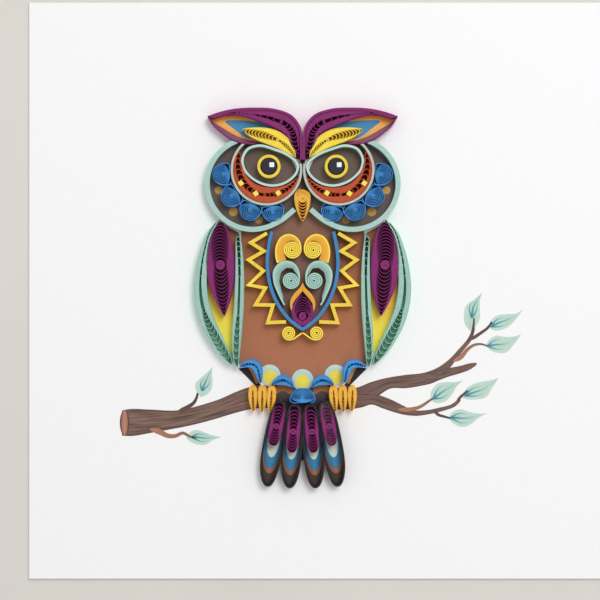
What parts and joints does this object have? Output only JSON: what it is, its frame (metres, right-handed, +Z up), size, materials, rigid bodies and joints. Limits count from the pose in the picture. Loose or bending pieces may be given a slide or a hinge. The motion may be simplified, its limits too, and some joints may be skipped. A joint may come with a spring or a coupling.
{
  "type": "quilled paper art card",
  "caption": "Quilled owl of coiled paper strips standing on edge on a white folded card, perched on a printed branch; lies flat as a decoration.",
  "frame": {"origin": "under the middle of the card, on the face that rests on the table", "axes": "+Z up out of the picture, +Y towards the top of the picture, +X to its right; the fold is at -X"},
  "size_m": [0.1524, 0.1524, 0.0044],
  "materials": {
    "mint_paper": "matt",
    "pale_paper": "matt",
    "purple_paper": "matt",
    "yellow_paper": "matt",
    "orange_paper": "matt",
    "rust_paper": "matt",
    "blue_paper": "matt",
    "brown_paper": "matt",
    "black_paper": "matt",
    "white_paper": "matt",
    "gold_paper": "matt",
    "blue_print": "matt",
    "orange_print": "matt",
    "mauve_print": "matt",
    "taupe_print": "matt",
    "chest_print": "matt",
    "yellow_print": "matt",
    "mint_print": "matt",
    "terracotta_print": "matt",
    "dark_print": "matt",
    "wood_print": "matt",
    "cut_wood_print": "matt",
    "leaf_print": "matt",
    "white_card": "matt"
  },
  "bodies": {
    "root": {"beak": "orange_paper", "belly_print": "terracotta_print", "branch_end_print": "cut_wood_print", "branch_print": "wood_print", "breast_coil": "purple_paper", "breast_shield": "blue_paper", "bud_print": "orange_print", "card": "white_card", "chest_print": "chest_print", "crescent_studs": "gold_paper", "crown_scrolls": "yellow_paper", "ear_blue_print": "blue_print", "ear_orange_print": "orange_print", "ear_print": "mauve_print", "eye_glints": "white_paper", "face_print": "taupe_print", "flame": "yellow_paper", "heart_scrolls": "mint_paper", "hem_print": "dark_print", "irises": "yellow_paper", "leaf_print": "leaf_print", "left_brow_coil": "yellow_paper", "left_ear_coil": "purple_paper", "left_ear_outline": "purple_paper", "left_eye_crescent": "rust_paper", "left_eye_rim": "mint_paper", "left_eye_socket": "pale_paper", "left_face_ring": "mint_paper", "left_petals": "blue_paper", "left_toes": "orange_paper", "left_wing_feather_coil": "purple_paper", "left_wing_inner_coil": "mint_paper", "left_wing_outer_coil": "mint_paper", "pupils": "black_paper", "right_brow_coil": "yellow_paper", "right_ear_coil": "purple_paper", "right_ear_outline": "purple_paper", "right_eye_crescent": "rust_paper", "right_eye_rim": "mint_paper", "right_eye_socket": "pale_paper", "right_face_ring": "mint_paper", "right_petals": "blue_paper", "right_toes": "orange_paper", "right_wing_feather_coil": "purple_paper", "right_wing_inner_coil": "mint_paper", "right_wing_outer_coil": "mint_paper", "scallop_print": "mint_print", "scallop_yellow_print": "yellow_print", "skirt": "blue_paper", "tail_blue_print": "blue_print", "tail_brown_print": "dark_print", "tail_coils": "purple_paper", "tail_mint_print": "mint_print", "tail_outlines": "brown_paper", "tail_terracotta_print": "terracotta_print", "tie_scroll": "yellow_paper", "twig_print": "wood_print", "wing_print": "yellow_print", "zigzags": "yellow_paper"}
  },
  "joints": []
}
